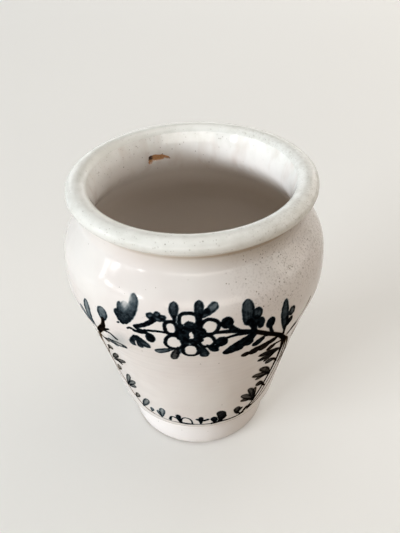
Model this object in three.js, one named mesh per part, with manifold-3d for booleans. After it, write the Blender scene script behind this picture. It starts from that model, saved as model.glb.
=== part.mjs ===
// A small thrown jar of tin-glazed earthenware: a clay body with a rolled rim and a turned foot,
// coated with white glaze inside and outside. Millimetres, +Z up, origin at the middle of the foot.
import * as THREE from 'three';
import { mergeVertices } from 'three/addons/utils/BufferGeometryUtils.js';
import Module from 'manifold-3d';

// Outside sizes of the glazed jar; each drop is measured down from the top of the rim
const overall_height = 140;
const rim_diameter = 108;
const rim_roll_width = 9.4;
const rim_roll_height = 7.5;
const neck_diameter = 97.6;
const neck_drop = 9.5;
const belly_diameter = 117.6;
const belly_drop = 40;
const lower_body_diameter = 81.2;
const lower_body_height = 22.5;
const foot_neck_diameter = 66.8;
const foot_neck_height = 12;
const foot_diameter = 69.6;
const foot_edge_radius = 2.2;

// How the outside curves: the straight taper of the lower body, the length of the handles at the foot,
// and the other handles as shares of the height of the lower body or of the shoulder
const body_taper = 0.2;
const foot_reach = 4.5;
const taper_share = 28 / 31;
const belly_share = 0.2;
const shoulder_share = 30 / 61;
const neck_share = 21 / 61;

// Walls, floor and underside
const wall_thickness = 5.4;
const floor_thickness = 10;
const floor_flat_diameter = 40;
const inner_corner_lift = 2;
const inner_corner_wall_reach = 4;
const inner_corner_floor_reach = 7;
const throat_drop = 3;
const foot_recess_depth = 3.5;
const foot_ring_width = 4.6;
const foot_recess_slope = 1.2;

// Glaze: its thickness, the air left between it and the clay, and the seam where the two coats meet
const glaze_thickness = 0.6;
const glaze_clearance = 0.05;
const coat_seam = 0.3;

// Chip in the inner coat, on the far side of the neck
const chip_width = 11;
const chip_height = 3.2;
const chip_angle = THREE.MathUtils.degToRad(112.5);
const chip_drop = 14;

// Steps round the wheel and along the curves
const turn_steps = 44;
const arc_step = THREE.MathUtils.degToRad(30);

const rim_radius = rim_diameter / 2;
const neck_radius = neck_diameter / 2;
const belly_radius = belly_diameter / 2;
const lower_body_radius = lower_body_diameter / 2;
const foot_neck_radius = foot_neck_diameter / 2;
const foot_radius = foot_diameter / 2;
const neck_height = overall_height - neck_drop;
const belly_height = overall_height - belly_drop;
const taper_reach = taper_share * (belly_height - lower_body_height);
const belly_reach = belly_share * (belly_height - lower_body_height);
const shoulder_reach = shoulder_share * (neck_height - belly_height);
const neck_reach = neck_share * (neck_height - belly_height);
const roll_centre_radius = rim_radius - rim_roll_width / 2;
const roll_centre_height = overall_height - rim_roll_height / 2;
const lip_radius = rim_radius - rim_roll_width;
const inner_floor_height = foot_recess_depth + floor_thickness;
const throat_radius = neck_radius - wall_thickness;
const throat_height = neck_height - throat_drop;
const coat_depth = glaze_thickness + glaze_clearance;

const point = (r, z) => new THREE.Vector2(r, z);

// Points of a smooth bend from start to end, each end leaving along its own handle
function bend(start, start_handle, end, end_handle, steps) {
  const curve = new THREE.CubicBezierCurve(
    start,
    start.clone().add(start_handle),
    end.clone().add(end_handle),
    end,
  );
  return curve.getPoints(steps);
}

// Points of an elliptical arc from one angle to another
function arc(centre, radius_r, radius_z, from, to) {
  const steps = Math.max(2, Math.round(Math.abs(to - from) / arc_step));
  const points = [];
  for (let i = 0; i <= steps; i += 1) {
    const angle = from + ((to - from) * i) / steps;
    points.push(point(centre.x + radius_r * Math.cos(angle), centre.y + radius_z * Math.sin(angle)));
  }
  return points;
}

// Joins curves that share their ends into one outline, each shared point kept once
function chain(...curves) {
  const outline = [];
  for (const curve of curves) {
    for (const p of curve) {
      const last = outline[outline.length - 1];
      if (!last || last.distanceTo(p) > 0.01) outline.push(p);
    }
  }
  return outline;
}

// The outside of the glazed jar, from the top of the foot's rounded edge to the inner lip of the rim
function outside_outline() {
  const foot = point(foot_radius, foot_edge_radius);
  const foot_neck = point(foot_neck_radius, foot_neck_height);
  const lower_body = point(lower_body_radius, lower_body_height);
  const belly = point(belly_radius, belly_height);
  const neck = point(neck_radius, neck_height);
  const roll = point(roll_centre_radius, roll_centre_height);
  const taper = point(body_taper, 1);
  return chain(
    bend(foot, point(0, foot_reach), foot_neck, point(0, -foot_reach), 3),
    bend(foot_neck, point(0, foot_reach), lower_body, taper.clone().multiplyScalar(-foot_reach), 5),
    bend(lower_body, taper.clone().multiplyScalar(taper_reach), belly, point(0, -belly_reach), 8),
    bend(belly, point(0, shoulder_reach), neck, point(0, -neck_reach), 6),
    arc(roll, rim_roll_width / 2, rim_roll_height / 2, -Math.PI / 2, Math.PI),
  );
}

// The inside of the glazed jar, from the seam under the inner lip down to the middle of the floor
function inside_outline() {
  const lip = point(lip_radius, roll_centre_height - coat_seam);
  const throat = point(throat_radius, throat_height);
  const belly = point(belly_radius - wall_thickness, belly_height);
  const corner = point(lower_body_radius - wall_thickness, lower_body_height + inner_corner_lift);
  const floor_edge = point(floor_flat_diameter / 2, inner_floor_height);
  const taper = point(body_taper, 1);
  return chain(
    bend(lip, point(0, -throat_drop), throat, point(0, throat_drop), 3),
    bend(throat, point(0, -neck_reach), belly, point(0, shoulder_reach), 6),
    bend(belly, point(0, -belly_reach), corner, taper.clone().multiplyScalar(taper_reach), 6),
    bend(
      corner,
      taper.clone().multiplyScalar(-inner_corner_wall_reach),
      floor_edge,
      point(inner_corner_floor_reach, 0),
      4,
    ),
    [point(0, inner_floor_height)],
  );
}

// The outline moved sideways, to the left of its direction of travel, with chosen directions at its ends
function moved_outline(outline, distance, first_direction, last_direction) {
  return outline.map((p, i) => {
    let sideways;
    if (i === 0) sideways = first_direction.clone();
    else if (i === outline.length - 1) sideways = last_direction.clone();
    else {
      const before = p.clone().sub(outline[i - 1]).normalize();
      const after = outline[i + 1].clone().sub(p).normalize();
      const along = before.clone().add(after).normalize();
      sideways = point(-along.y, along.x).divideScalar(along.dot(before));
    }
    return p.clone().add(sideways.multiplyScalar(distance));
  });
}

// Turns a closed outline about the Z axis; the outline runs up the outside, so faces point out
function turned(outline) {
  const geometry = new THREE.LatheGeometry(outline, turn_steps);
  geometry.rotateX(Math.PI / 2);
  return closed(geometry);
}

// Leaves only positions and merges shared corners, dropping the triangles that have no area
function closed(geometry) {
  geometry.deleteAttribute('normal');
  geometry.deleteAttribute('uv');
  const merged = mergeVertices(geometry, 1e-3);
  const index = merged.index.array;
  const kept = [];
  for (let i = 0; i < index.length; i += 3) {
    const [a, b, c] = [index[i], index[i + 1], index[i + 2]];
    if (a !== b && b !== c && c !== a) kept.push(a, b, c);
  }
  merged.setIndex(kept);
  return merged;
}

const outside = outside_outline();
const inside = inside_outline();
const inward = point(-1, 0);
const outward = point(1, 0);
const downward = point(0, -1);

function clay_body() {
  const under_coat_outside = moved_outline(outside, coat_depth, inward, outward);
  const under_coat_inside = moved_outline(inside, coat_depth, outward, downward);
  const ring_outer = foot_radius - coat_depth - foot_edge_radius;
  const ring_inner = ring_outer - foot_ring_width;
  const edge_centre = point(ring_outer, foot_edge_radius);
  const outline = chain(
    [point(0, foot_recess_depth), point(ring_inner - foot_recess_slope, foot_recess_depth)],
    [point(ring_inner, 0), point(ring_outer, 0)],
    arc(edge_centre, foot_edge_radius, foot_edge_radius, -Math.PI / 2, 0),
    under_coat_outside,
    under_coat_inside,
  );
  return turned(outline);
}

function glaze_outside() {
  const under_side = moved_outline(outside, glaze_thickness, inward, outward);
  return turned(chain(outside, under_side.reverse(), [outside[0]]));
}

function glaze_inside_unchipped() {
  const under_side = moved_outline(inside, glaze_thickness, outward, downward);
  return turned(chain(under_side.reverse(), inside));
}

// The bite that the chip takes: an uneven flake outline pushed through the coat along the radius
function chip_cutter() {
  const flake = new THREE.Shape();
  const half_width = chip_width / 2;
  const half_height = chip_height / 2;
  flake.moveTo(-half_width, -half_height * 0.7);
  flake.quadraticCurveTo(-half_width * 1.05, half_height * 0.6, -half_width * 0.55, half_height);
  flake.quadraticCurveTo(0, half_height * 0.75, half_width * 0.6, half_height * 0.95);
  flake.quadraticCurveTo(half_width * 1.1, half_height * 0.5, half_width * 0.85, 0);
  flake.quadraticCurveTo(half_width * 0.1, half_height * 0.1, -half_width * 0.5, -half_height);
  flake.quadraticCurveTo(-half_width * 0.8, -half_height * 1.15, -half_width, -half_height * 0.7);
  const depth = wall_thickness * 2;
  const geometry = new THREE.ExtrudeGeometry(flake, { depth, bevelEnabled: false, curveSegments: 4 });
  geometry.rotateX(Math.PI / 2);
  geometry.translate(0, depth / 2 + throat_radius, overall_height - chip_drop);
  geometry.rotateZ(chip_angle - Math.PI / 2);
  return closed(geometry);
}

function to_solid(geometry, wasm) {
  const mesh = new wasm.Mesh({
    numProp: 3,
    vertProperties: new Float32Array(geometry.attributes.position.array),
    triVerts: new Uint32Array(geometry.index.array),
  });
  return new wasm.Manifold(mesh);
}

function to_geometry(solid) {
  const mesh = solid.getMesh();
  const geometry = new THREE.BufferGeometry();
  geometry.setAttribute('position', new THREE.BufferAttribute(mesh.vertProperties, 3));
  geometry.setIndex(new THREE.BufferAttribute(mesh.triVerts, 1));
  return geometry;
}

const wasm = await Module();
wasm.setup();

function glaze_inside() {
  const coat = to_solid(glaze_inside_unchipped(), wasm);
  return to_geometry(coat.subtract(to_solid(chip_cutter(), wasm)));
}

const fired_clay = new THREE.MeshStandardMaterial({ color: '#b5713c', roughness: 0.85, metalness: 0 });
const white_glaze = new THREE.MeshStandardMaterial({ color: '#ece7df', roughness: 0.18, metalness: 0 });

function piece(name, geometry, material) {
  const mesh = new THREE.Mesh(geometry, material);
  mesh.name = name;
  return mesh;
}

const jar = new THREE.Group();
jar.add(piece('clay_body', clay_body(), fired_clay));
jar.add(piece('glaze_outside', glaze_outside(), white_glaze));
jar.add(piece('glaze_inside', glaze_inside(), white_glaze));

export default jar;
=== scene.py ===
# %% [markdown]
# This script builds a small jar of tin-glazed earthenware: a wheel-thrown clay body, a coat of white
# glaze outside, another inside, and a garland painted on the front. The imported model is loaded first,
# because it fixes the jar's place and overall size, and the pieces below are worked out from it.

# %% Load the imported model
import bpy
import numpy as np
from mathutils import Matrix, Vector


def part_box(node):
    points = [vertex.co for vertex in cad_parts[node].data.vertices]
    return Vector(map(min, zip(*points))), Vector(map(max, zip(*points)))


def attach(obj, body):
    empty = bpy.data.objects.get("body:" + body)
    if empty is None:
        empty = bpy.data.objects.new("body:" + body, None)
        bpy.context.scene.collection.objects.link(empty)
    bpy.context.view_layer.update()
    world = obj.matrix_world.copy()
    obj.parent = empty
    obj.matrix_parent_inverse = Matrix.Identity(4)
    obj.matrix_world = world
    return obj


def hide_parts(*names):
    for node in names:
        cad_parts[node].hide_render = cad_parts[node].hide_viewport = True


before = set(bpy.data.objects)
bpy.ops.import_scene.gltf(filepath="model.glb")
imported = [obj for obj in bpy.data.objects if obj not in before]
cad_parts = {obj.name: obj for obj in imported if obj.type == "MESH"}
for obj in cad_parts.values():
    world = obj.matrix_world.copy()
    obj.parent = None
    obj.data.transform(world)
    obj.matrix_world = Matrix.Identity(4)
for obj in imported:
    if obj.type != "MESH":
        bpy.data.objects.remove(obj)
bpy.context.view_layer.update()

# %% [markdown]
# A potter thinks of a jar as a profile turned round the wheel. The profile could be traced as a long
# list of points, but a few heights and widths joined by smooth bends say the same and stay easy to
# change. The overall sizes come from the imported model, in millimetres, and the rest are the jar's own.

# %% Sizes of the jar
MM = 0.001
outside_box = np.array([list(corner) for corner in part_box("glaze_outside")]) / MM
overall_height = outside_box[1, 2]
belly_radius = (outside_box[1, 0] - outside_box[0, 0]) / 2
rim_radius = 54.0
rim_roll_width = 9.4
rim_roll_height = 7.5
neck_radius = 48.8
neck_height = overall_height - 9.5
belly_height = overall_height - 40
lower_body_radius = 40.6
lower_body_height = 22.5
foot_neck_radius = 33.4
foot_neck_height = 12.0
foot_radius = 34.8
foot_edge_radius = 2.2
wall_thickness = 5.4
inner_floor_height = 13.5
floor_flat_radius = 20.0
foot_recess_depth = 3.5
foot_ring_width = 4.6
foot_recess_slope = 1.2
glaze_thickness = 0.6
glaze_clearance = 0.05
print("height", round(overall_height, 2), "belly radius", round(belly_radius, 2))

# %% [markdown]
# Each bend of the profile is a cubic curve with a handle at each end. Wet clay and pooled glaze leave
# no sharp corner, so the joined points are blurred a little along their length, which rounds the
# crease under the roll as glaze does when it gathers there.

# %% Bends, arcs and softened corners
crease_blur = 0.55
profile_step = 0.1


def bend(start, start_handle, end, end_handle, steps=80):
    """Cubic curve: (1-t)^3 A + 3(1-t)^2 t B + 3(1-t) t^2 C + t^3 D, B and C given as handles on A and D."""
    t = np.linspace(0, 1, steps)[:, None]
    a, d = np.array(start, float), np.array(end, float)
    b, c = a + start_handle, d + end_handle
    return (1 - t) ** 3 * a + 3 * (1 - t) ** 2 * t * b + 3 * (1 - t) * t**2 * c + t**3 * d


def arc(centre, radii, first, last, steps=80):
    """Part of an ellipse: centre + (a cos angle, b sin angle), angles in degrees."""
    angle = np.radians(np.linspace(first, last, steps))
    return centre + np.stack([radii[0] * np.cos(angle), radii[1] * np.sin(angle)], -1)


def distances(points):
    """How far each point of a line lies along it."""
    return np.r_[0, np.cumsum(np.hypot(*np.diff(points, axis=0).T))]


def softened(points, blur):
    """A line blurred along itself: each point is the bell-weighted mean of its neighbours, ends kept."""
    lengths = distances(points)
    at = np.linspace(0, lengths[-1], int(lengths[-1] / profile_step) + 1)
    points = np.stack([np.interp(at, lengths, points[:, k]) for k in (0, 1)], -1)
    reach = int(3 * blur / profile_step)
    weights = np.exp(-0.5 * (np.arange(-reach, reach + 1) * profile_step / blur) ** 2)
    weights /= weights.sum()
    before = 2 * points[0] - points[reach:0:-1]
    after = 2 * points[-1] - points[-2 : -reach - 2 : -1]
    padded = np.vstack([before, points, after])
    return np.stack([np.convolve(padded[:, k], weights, "valid") for k in (0, 1)], -1)


print("softening reaches", round(3 * crease_blur, 2), "mm to each side")

# %% [markdown]
# Two curves make the profile: the outside, from the foot up and over the rolled rim, and the inside,
# from the lip down to the middle of the floor. The inside follows the outside at the wall's thickness.

# %% The outside and inside profiles
taper = np.array([0.2, 1.0])
rise_of_body = belly_height - lower_body_height
rise_of_shoulder = neck_height - belly_height
taper_reach, belly_reach = 28 / 31 * rise_of_body, 1 / 5 * rise_of_body
shoulder_reach, neck_reach = 30 / 61 * rise_of_shoulder, 21 / 61 * rise_of_shoulder
foot_reach = 4.5
collar_out, collar_drop, collar_reach = 1.1, 7.0, 9.5
collar_slope = np.array([0.61, -1.0])
foot_edge_angle, lip_angle = -52, 161
foot_edge = np.array([foot_radius - foot_edge_radius, foot_edge_radius])
foot_top = (foot_radius, foot_edge_radius)
foot_neck = (foot_neck_radius, foot_neck_height)
lower_body = (lower_body_radius, lower_body_height)
belly = (belly_radius, belly_height)
collar = (neck_radius + collar_out, neck_height - collar_drop)
neck = (neck_radius, neck_height)
roll_centre = np.array([rim_radius - rim_roll_width / 2, overall_height - rim_roll_height / 2])
outside_profile = softened(
    np.vstack([
        arc(foot_edge, (foot_edge_radius, foot_edge_radius), foot_edge_angle, 0),
        bend(foot_top, (0, foot_reach), foot_neck, (0, -foot_reach))[1:],
        bend(foot_neck, (0, foot_reach), lower_body, -foot_reach * taper)[1:],
        bend(lower_body, taper_reach * taper, belly, (0, -belly_reach))[1:],
        bend(belly, (0, shoulder_reach), collar, collar_reach * collar_slope)[1:],
        bend(collar, (-0.1, 0.6), neck, (0, -3.0))[1:],
        arc(roll_centre, (rim_roll_width / 2, rim_roll_height / 2), -90, lip_angle),
    ]),
    crease_blur,
)
lip = outside_profile[-1]
lip_flare = np.array([-0.42, -1.0])
throat_in, throat_drop = 0.8, 2.5
throat = (neck_radius - wall_thickness - throat_in, neck_height - throat_drop)
inner_belly = (belly_radius - wall_thickness, belly_height)
inner_corner = (lower_body_radius - wall_thickness, lower_body_height + 2)
floor_edge = (floor_flat_radius, inner_floor_height)
inside_profile = softened(
    np.vstack([
        bend(lip, 5 * lip_flare, throat, (0, throat_drop)),
        bend(throat, (0, -neck_reach), inner_belly, (0, shoulder_reach))[1:],
        bend(inner_belly, (0, -belly_reach), inner_corner, taper_reach * taper)[1:],
        bend(inner_corner, -4 * taper, floor_edge, (7, 0))[1:],
        [(0, inner_floor_height)],
    ]),
    crease_blur,
)
inside_profile[-1, 0] = 0
outside_length = distances(outside_profile)[-1]
inside_length = distances(inside_profile)[-1]
print("outside profile", round(outside_length, 1), "mm, inside", round(inside_length, 1), "mm")

# %% [markdown]
# Everything that lies on the jar, such as glaze, paint or a chip, is placed by its distance along a
# profile and its turn round the wheel, so one function gives the point and the way out of the clay
# at any distance. Outward is the direction of travel turned a quarter turn clockwise.

# %% Points along a profile
def along(profile, distance, lift=0.0):
    """Radius and height at a distance along a profile, moved out of the surface by lift."""
    at = distances(profile)
    travel = np.gradient(profile, at, axis=0)
    travel /= np.hypot(*travel.T)[:, None]
    radius = np.interp(distance, at, profile[:, 0]) + lift * np.interp(distance, at, travel[:, 1])
    height = np.interp(distance, at, profile[:, 1]) - lift * np.interp(distance, at, travel[:, 0])
    return radius, height


print("half way up the outside, radius and height", np.round(along(outside_profile, outside_length / 2), 1))

# %% [markdown]
# A hand-thrown jar is never quite true. Its rim is a little oval and dips, its body leans by a hair,
# and the potter's fingers leave a shallow spiral of rings as they climb the wall. These shifts are
# added to the radius and the height of every surface alike, so that walls and coats keep their gaps.

# %% How the hands left the clay
ring_spacing = 3.7
ring_depth = 0.024
oval_rim = 0.35
body_sway = 0.2
rim_dip = 0.25


def thrown(turn, radius, height):
    """Turn in radians from the front, radius and height in mm, to x, y and z in metres.

    The radius gains an oval, two slow waves and a spiral of finger rings: depth times the sine of
    height over spacing plus the turn. The height gains a dip that grows towards the rim. All of it
    fades out towards the axis, so that floors stay closed and flat.
    """
    up = np.clip(height / overall_height, 0, 1)
    fade = np.clip(radius / lower_body_radius, 0, 1) ** 2
    on_wall = np.clip((height - 26) / 8, 0, 1) * np.clip((126 - height) / 8, 0, 1)
    spiral = 2 * np.pi * height / ring_spacing
    rings = 0.6 * np.sin(spiral + turn + 0.8 * np.sin(2 * turn + height / 9))
    rings = rings + 0.4 * np.sin(spiral / 0.61 - turn + 2 * np.sin(turn))
    strength = 0.55 + 0.45 * np.sin(height / 11 + 1.5 * np.sin(turn + 0.7))
    shift = oval_rim * up**3 * np.cos(2 * turn + 0.9)
    shift = shift + body_sway * up * np.sin(turn + 2.1) + 0.08 * np.cos(3 * turn + height / 23)
    out = radius + (shift + ring_depth * rings * strength * on_wall) * fade
    level = height + rim_dip * up**6 * fade * np.cos(turn - 0.6)
    return np.stack([out * np.sin(turn), -out * np.cos(turn), level], -1) * MM


sample = thrown(np.radians([0.0, 90.0, 180.0, 270.0]), belly_radius, belly_height)
print("belly radius at four sides in mm", np.round(np.hypot(sample[:, 0], sample[:, 1]) / MM, 2))

# %% [markdown]
# Far back inside the neck a flake of glaze has come away and shows the biscuit, brown and a little
# deeper at its left end. The bite is a depth that depends on the place, and it is taken off the
# glaze, its underside and the clay alike, so the three never cross.

# %% The chip in the throat
chip_turn = -157.5
chip_height = 126.0
chip_width = 11.6
chip_tallness = 4.4
chip_depth = 1.1


def smooth_step(low, high, value):
    """0 below low, 1 above high and an S-shaped rise 3t^2 - 2t^3 between them."""
    t = np.clip((value - low) / (high - low), 0, 1)
    return t * t * (3 - 2 * t)


def chip(turn, height):
    """How deep the bite goes, and how near its deep left end it is, at a turn and a height.

    The flake is a bent ellipse, across^2 + rise^2 under 1, with the rise measured from an arched middle
    line, and a second small ellipse that hangs from its left end; three sines make the edge ragged.
    """
    side = -np.angle(np.exp(1j * (turn - np.radians(chip_turn)))) * throat[0]
    across = side / (chip_width / 2)
    middle = chip_height + 0.9 - 0.75 * across - 0.8 * across**2
    rise = (height - middle) / (chip_tallness / 2 * (0.78 - 0.22 * across))
    ragged = 0.09 * np.sin(5 * across + 2 * rise) + 0.06 * np.sin(11 * across + 1) + 0.05 * np.sin(9 * rise)
    hook = np.hypot((across + 0.68) / 0.24, (height - chip_height + 0.5) / 1.7)
    away = np.minimum(np.sqrt(across**2 + rise**2), hook) + ragged
    rough = 0.12 * np.sin(3.1 * side) * np.sin(4.3 * height + side) + 0.08 * np.sin(7.3 * side + 2 * height)
    bite = smooth_step(1.02, 0.86, away)
    depth = bite * (0.78 + 0.35 * smooth_step(-0.35, -0.8, across) + rough * smooth_step(0.9, 0.7, away))
    deep_end = bite * smooth_step(-0.4, -0.6, across) * smooth_step(-0.7, 0.3, height - chip_height)
    return depth * chip_depth, deep_end


print("chip", chip_width, "by", chip_tallness, "mm, up to", chip_depth, "mm deep")

# %% [markdown]
# A grid of points becomes a mesh by joining neighbours into four-sided faces. The grid goes round the
# jar and back to its start, and where a row lies on the axis it shrinks to one point, so the pole is
# closed by triangles. Faces run round first and then along the profile, which turns them outwards.

# %% From a grid of points to a mesh
def new_piece(name, points, faces, fields=None, sharp_angle=40):
    """A smooth-shaded object from points and faces, with one named value per point for each field."""
    mesh = bpy.data.meshes.new(name)
    mesh.from_pydata(points, [], faces)
    mesh.polygons.foreach_set("use_smooth", np.ones(len(mesh.polygons), bool))
    mesh.set_sharp_from_angle(angle=np.radians(sharp_angle))
    for field, values in (fields or {}).items():
        made = mesh.attributes.new(field, "FLOAT", "POINT")
        made.data.foreach_set("value", np.asarray(values, np.float32).ravel())
    mesh.update()
    piece = bpy.data.objects.new(name, mesh)
    bpy.context.scene.collection.objects.link(piece)
    print(name, "has", len(mesh.polygons), "faces")
    return piece


def turned_faces(rows, columns, closed_rows=False, poles=False):
    """Faces of a grid that wraps round; rows may wrap too, or end in a single point at each pole."""
    index = np.arange(rows * columns).reshape(rows, columns)
    if poles:
        index[0], index[-1] = index[0, 0], index[-1, 0]
    if closed_rows:
        index = np.vstack([index, index[:1]])
    after = np.roll(index, -1, axis=1)
    quads = np.stack([index[:-1], after[:-1], after[1:], index[1:]], -1)
    if not poles:
        return quads.reshape(-1, 4).tolist()
    first = quads[0][:, [0, 2, 3]]
    last = quads[-1][:, [0, 1, 2]]
    return quads[1:-1].reshape(-1, 4).tolist() + first.tolist() + last.tolist()


def without_loose_points(points, faces, fields):
    """Drops points that no face uses and renumbers the faces."""
    used = np.unique(np.concatenate([np.ravel(face) for face in faces]))
    renumber = np.full(len(points), -1)
    renumber[used] = np.arange(len(used))
    faces = [renumber[np.asarray(face)].tolist() for face in faces]
    return points[used], faces, {name: np.ravel(values)[used] for name, values in fields.items()}


# %% [markdown]
# The rows of the grids are distances along a profile and their columns are turns of the wheel. Both
# are drawn close together round the chip, whose edge is finer than the rest of the jar.

# %% Rows and columns
outside_row, outside_turn = 0.55, 1.5
inside_row, inside_turn = 1.05, 1.7
chip_row, chip_column = 0.25, 0.33
chip_margin = 3.4


def spread(first, last, step):
    """Even steps from first to last, no longer than step."""
    return np.linspace(first, last, int(np.ceil(abs(last - first) / step)) + 1)


def distance_down_inside(height):
    """How far along the inside profile a height in the throat lies."""
    upper = inside_profile[:, 1] > belly_height
    return float(np.interp(-height, -inside_profile[upper, 1], distances(inside_profile)[upper]))


chip_from = distance_down_inside(chip_height + chip_margin)
chip_to = distance_down_inside(chip_height - chip_margin)
outside_rows = spread(0, outside_length, outside_row)
inside_rows = np.r_[
    spread(0, chip_from, inside_row)[:-1],
    spread(chip_from, chip_to, chip_row),
    spread(chip_to, inside_length, inside_row)[1:],
]
chip_half = np.degrees(chip_width * 0.62 / throat[0])
turns_outside = np.radians(spread(0, 360, outside_turn)[:-1])[None, :]
turns_inside = np.radians(np.r_[
    spread(chip_turn - chip_half, chip_turn + chip_half, chip_column)[:-1],
    spread(chip_turn + chip_half, chip_turn - chip_half + 360, inside_turn)[:-1],
])[None, :]
print("rows", len(outside_rows), len(inside_rows), "columns", turns_outside.size, turns_inside.size)

# %% [markdown]
# The clay is one closed shape: the foot ring, the underside, the wall below the glaze and the floor.
# It is made a closed profile turned about the axis, with the glaze's thickness taken off both sides.
# Most of it hides under the glaze, and only the ring, the underside and the chip show it.

# %% The thrown clay
coat_depth = glaze_thickness + glaze_clearance
groove_spacing = 8.5
groove_depth = 0.07
ring_outer = foot_radius - foot_edge_radius
ring_inner = ring_outer - foot_ring_width
clay_edge = np.ravel(along(outside_profile, 0.0, -coat_depth))
underside = softened(
    np.array([
        (0, foot_recess_depth), (ring_inner - foot_recess_slope, foot_recess_depth),
        (ring_inner, 0), (ring_outer, 0),
        (ring_outer + 0.35, 0.12), clay_edge,
    ]),
    0.35,
)
underside[0, 0] = 0
underside_rows = spread(0, distances(underside)[-1], 0.8)


def inside_surface(distance, turn, least_depth, below_chip):
    """The inside profile sunk by least_depth, or by the chip's depth plus below_chip where that is more.

    The potter's fingers left wider grooves inside: groove_depth times a sine of height over spacing.
    """
    distance = distance + 0 * turn
    height = along(inside_profile, distance)[1]
    bite = chip(turn, height)[0]
    depth = np.maximum(least_depth, (bite + below_chip) * (bite > 0))
    radius, height = along(inside_profile, distance, -depth)
    on_wall = np.clip((height - 30) / 10, 0, 1) * np.clip((124 - height) / 10, 0, 1)
    groove = np.sin(2 * np.pi * height / groove_spacing + 0.6 * np.sin(turn))
    return thrown(turn, np.maximum(radius + groove_depth * on_wall * groove, 0), height)


bottom = thrown(turns_inside, *along(underside, underside_rows[:, None] + 0 * turns_inside))
wall = thrown(turns_inside, *along(outside_profile, outside_rows[1::2, None] + 0 * turns_inside, -coat_depth))
inner = inside_surface(inside_rows[1:, None], turns_inside, coat_depth, 0.1)
clay_grid = np.vstack([bottom, wall, inner])
clay_faces = turned_faces(*clay_grid.shape[:2], poles=True)
clay = new_piece("thrown_clay", *without_loose_points(clay_grid.reshape(-1, 3), clay_faces, {}))

# %% [markdown]
# The potter held the jar by its foot and dipped it, then wiped the foot ring, so the glaze ends in an
# uneven, rounded edge just above the table. The coat is a thin closed shell: its outer skin, its
# underside against the clay, and a skin that thins to nothing at that lower edge.

# %% The white glaze outside
edge_roundness = 0.7
seam = 0.005


def glaze_edge(turn):
    """Where the coat starts along the profile: a slow wave plus two quicker ones, in mm."""
    wave = 0.25 + 0.2 * np.sin(2 * turn + 0.4) + 0.13 * np.sin(5 * turn + 1.1) + 0.08 * np.sin(11 * turn)
    return np.clip(wave, 0.05, 2)


def outside_shell(turn):
    """Rows of the outer skin from the lower edge to the lip, then the underside back down."""
    share = outside_rows[:, None] / outside_length
    start = glaze_edge(turn)
    distance = start + (outside_length - seam - start) * share
    from_edge = np.clip((distance - start) / edge_roundness, 0, 1)
    skin = glaze_thickness * (np.sqrt(1 - (1 - from_edge) ** 2) - 1)
    outer = thrown(turn, *along(outside_profile, distance, skin))
    under = thrown(turn, *along(outside_profile, distance[::3], -glaze_thickness))
    return np.vstack([outer, under[:0:-1]])


glaze_grid = outside_shell(turns_outside)
glaze_faces = turned_faces(*glaze_grid.shape[:2], closed_rows=True)
glaze_out = new_piece("white_glaze_outside", glaze_grid.reshape(-1, 3), glaze_faces)

# %% [markdown]
# The inside coat is made the same way, from the lip down to a closed pole in the middle of the floor.
# Two values are kept on its points: how much bare clay the chip shows, and the grime and painted shade in its
# deep end.

# %% The white glaze inside
inner_skin = inside_surface(inside_rows[:, None], turns_inside, 0.0, 0.0)
inner_under = inside_surface(inside_rows[::-1, None], turns_inside, glaze_thickness, 0.05)
inner_grid = np.vstack([inner_under, inner_skin])
skin_height = along(inside_profile, inside_rows[:, None] + 0 * turns_inside)[1]
bite_depth, deep_end = chip(turns_inside, skin_height)
no_chip = np.zeros_like(bite_depth)
fields = {
    "bare_clay": np.vstack([no_chip, smooth_step(0.35, 0.6, bite_depth)]),
    "grime_and_shade": np.vstack([no_chip, deep_end]),
}
inner_faces = turned_faces(*inner_grid.shape[:2], poles=True)
inner_coat = without_loose_points(inner_grid.reshape(-1, 3), inner_faces, fields)
glaze_in = new_piece("white_glaze_inside", *inner_coat)

# %% [markdown]
# The garland is painted in dark metal oxide on the unfired white glaze and sinks into it in the fire.
# An image could hold it, but brush marks are simple shapes: dabs that swell from a point, round
# blots, rings and lines. Each is worked out as a distance to its edge on a fine grid laid over the
# front of the jar, and the marks are laid over each other as thin paint is.

# %% A grid for the brushwork
paint_step = 0.31
left_turn, right_turn = -63.0, 62.0
low_paint, high_paint = 20.0, 117.0
up_to_neck = outside_profile[:, 1] < neck_height


def distance_up(height):
    """How far along the outside profile a height on the wall lies."""
    return np.interp(height, outside_profile[up_to_neck, 1], distances(outside_profile)[up_to_neck])


paint_turns = spread(left_turn, right_turn, np.degrees(paint_step / 52))
paint_distances = spread(float(distance_up(low_paint)), float(distance_up(high_paint)), paint_step)
paint = np.zeros((len(paint_distances), len(paint_turns)))
brown = np.zeros_like(paint)
print("brush grid", paint.shape)

# %% [markdown]
# A mark is described by places on the jar, a turn in degrees and a height in millimetres, and by
# widths in millimetres. Round the mark the wall is nearly flat, so distances are measured on a flat
# patch. Thin paint pools at the rim of a dab and leaves its middle lighter.

# %% Laying paint on a patch of the wall
edge_softness = 0.19
hair_spacing = 1.1
least_paint = 0.02


def patch(turns, heights, margin):
    """The part of the grid round some places, and its sides in mm from the first place."""
    rises = distance_up(heights)
    mm_per_degree = np.radians(1) * along(outside_profile, distance_up(np.mean(heights)))[0]
    rows = np.abs(paint_distances - distance_up(np.mean(heights))) < np.ptp(rises) / 2 + margin
    reach = np.ptp(turns) / 2 + margin / mm_per_degree
    columns = np.abs(paint_turns - (np.min(turns) + np.max(turns)) / 2) < reach
    side = (paint_turns[columns][None, :] - turns[0]) * mm_per_degree
    rise = (paint_distances[rows] - rises[0])[:, None]
    wander = 0.07 * np.sin(2.3 * side + 1.7 * rise + turns[0]) + 0.05 * np.sin(3.1 * rise - 4.7 * side)
    places = np.stack([(np.array(turns) - turns[0]) * mm_per_degree, rises - rises[0]], -1)
    return np.ix_(rows, columns), side, rise, places, wander


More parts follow.
